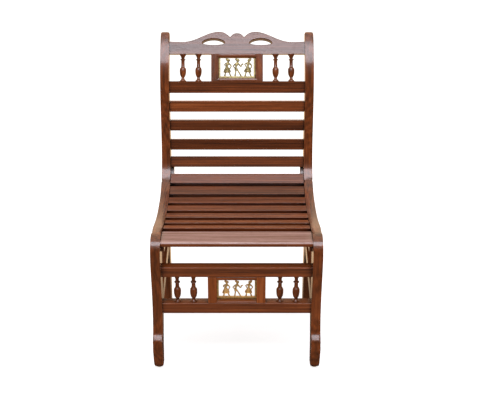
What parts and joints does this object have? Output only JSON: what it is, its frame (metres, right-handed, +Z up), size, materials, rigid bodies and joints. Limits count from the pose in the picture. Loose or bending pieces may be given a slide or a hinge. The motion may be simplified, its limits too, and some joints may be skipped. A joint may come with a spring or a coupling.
{
  "type": "slatted easy chair",
  "caption": "Low armless easy chair with S-curved side frames, slatted seat and back, scalloped crest rail, turned balusters and pierced metal figure panels.",
  "frame": {"origin": "on the floor, under the middle of the chair", "axes": "-Y to the front, where the sitter faces; +Z up; +X to the right as seen from the front"},
  "size_m": [0.56, 0.7177, 1.0117],
  "materials": {
    "teak": "dark polished teak",
    "brass": "cast, aged",
    "steel": "plain screws",
    "nylon": "tan, matte"
  },
  "bodies": {
    "root": {"back_baluster_1": "teak", "back_baluster_2": "teak", "back_baluster_3": "teak", "back_baluster_4": "teak", "back_brass_panel": "brass", "back_panel_head": "teak", "back_panel_rail": "teak", "back_panel_sill": "teak", "back_post_left": "teak", "back_post_right": "teak", "back_slat_1": "teak", "back_slat_2": "teak", "back_slat_3": "teak", "back_slat_4": "teak", "back_stile_left": "teak", "back_stile_right": "teak", "cleat_screw_left_1": "steel", "cleat_screw_left_2": "steel", "cleat_screw_left_3": "steel", "cleat_screw_right_1": "steel", "cleat_screw_right_2": "steel", "cleat_screw_right_3": "steel", "crest_rail": "teak", "foot_glide_front_left": "nylon", "foot_glide_front_right": "nylon", "foot_glide_rear_left": "nylon", "foot_glide_rear_right": "nylon", "front_baluster_1": "teak", "front_baluster_2": "teak", "front_baluster_3": "teak", "front_baluster_4": "teak", "front_brass_panel": "brass", "front_leg_left": "teak", "front_leg_right": "teak", "front_lower_rail": "teak", "front_panel_head": "teak", "front_panel_sill": "teak", "front_stile_left": "teak", "front_stile_right": "teak", "front_upper_rail": "teak", "rear_leg_left": "teak", "rear_leg_right": "teak", "rear_rail": "teak", "seat_cleat_left": "teak", "seat_cleat_right": "teak", "seat_front_slat": "teak", "seat_rail_left": "teak", "seat_rail_right": "teak", "seat_rear_slat": "teak", "seat_slat_1": "teak", "seat_slat_2": "teak", "seat_slat_3": "teak", "seat_slat_4": "teak", "seat_slat_5": "teak", "seat_slat_6": "teak", "side_stretcher_left": "teak", "side_stretcher_right": "teak"}
  },
  "joints": []
}
